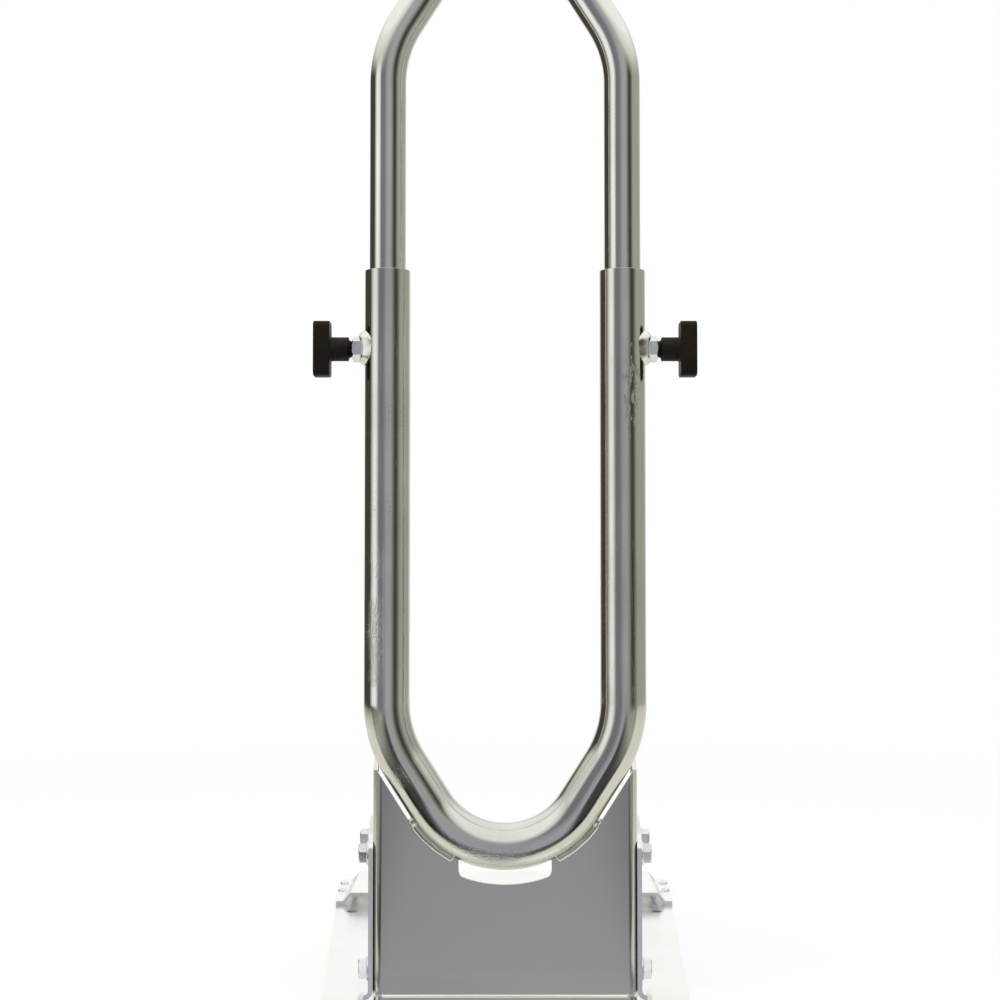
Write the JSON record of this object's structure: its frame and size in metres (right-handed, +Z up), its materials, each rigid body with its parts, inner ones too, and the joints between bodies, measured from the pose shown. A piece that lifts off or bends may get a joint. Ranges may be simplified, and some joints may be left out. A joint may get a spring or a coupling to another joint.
{
  "type": "bike display stand",
  "caption": "Floor stand for one bicycle wheel: a folded sheet base carries a bent tube hoop, and a thinner hoop slides in it and is clamped by knobs.",
  "frame": {"origin": "on the floor, under the middle of the stand's overall box", "axes": "+Z up, +X to the right seen from the front, +Y to the rear; the hoops stand in the plane Y = -0.106"},
  "size_m": [0.1888, 0.268, 0.4665],
  "materials": {
    "front_sheet": "satin zinc-plated sheet, mid grey",
    "foot_sheet": "bright zinc-plated sheet",
    "lower_tube": "zinc-plated tube with pits and scratches",
    "upper_tube": "bright zinc-plated tube, drawn smooth",
    "weld": "plated over rippled weld",
    "bright_zinc": "bright zinc-plated",
    "knob_plastic": "moulded black plastic, low sheen"
  },
  "bodies": {
    "base": {"front_plate": "front_sheet", "left_side_plate": "foot_sheet", "right_side_plate": "foot_sheet", "rear_tie_plate": "foot_sheet", "lower_hoop": "lower_tube", "hoop_weld_beads": "weld", "nut_weld_beads": "weld", "left_weld_nut": "bright_zinc", "right_weld_nut": "bright_zinc", "left_bolts": "bright_zinc", "right_bolts": "bright_zinc", "left_washers": "bright_zinc", "right_washers": "bright_zinc", "left_bolt_nuts": "bright_zinc", "right_bolt_nuts": "bright_zinc", "tie_rivets": "bright_zinc"},
    "sliding_hoop": {"upper_hoop": "upper_tube"},
    "left_screw": {"left_clamp_screw": "bright_zinc"},
    "right_screw": {"right_clamp_screw": "bright_zinc"},
    "left_handle": {"left_knob": "knob_plastic"},
    "right_handle": {"right_knob": "knob_plastic"}
  },
  "joints": [
    {"name": "hoop_height", "type": "slide", "parent": "base", "child": "sliding_hoop", "axis": [0, 0, 1], "range_m": [-0.08, 0.05]},
    {"name": "left_screw_travel", "type": "slide", "parent": "base", "child": "left_screw", "axis": [-1, 0, 0], "range_m": [0, 0.003]},
    {"name": "left_knob_turn", "type": "hinge", "parent": "left_screw", "child": "left_handle", "pos_m": [-0.0757, -0.106, 0.28], "axis": [-1, 0, 0], "range_deg": [0, 1080]},
    {"name": "right_screw_travel", "type": "slide", "parent": "base", "child": "right_screw", "axis": [1, 0, 0], "range_m": [0, 0.003]},
    {"name": "right_knob_turn", "type": "hinge", "parent": "right_screw", "child": "right_handle", "pos_m": [0.0757, -0.106, 0.28], "axis": [1, 0, 0], "range_deg": [0, 1080]}
  ],
  "couplings": [
    {"joint": "left_knob_turn", "follows": "left_screw_travel", "rad_per_m": 6283.2},
    {"joint": "right_knob_turn", "follows": "right_screw_travel", "rad_per_m": 6283.2}
  ]
}
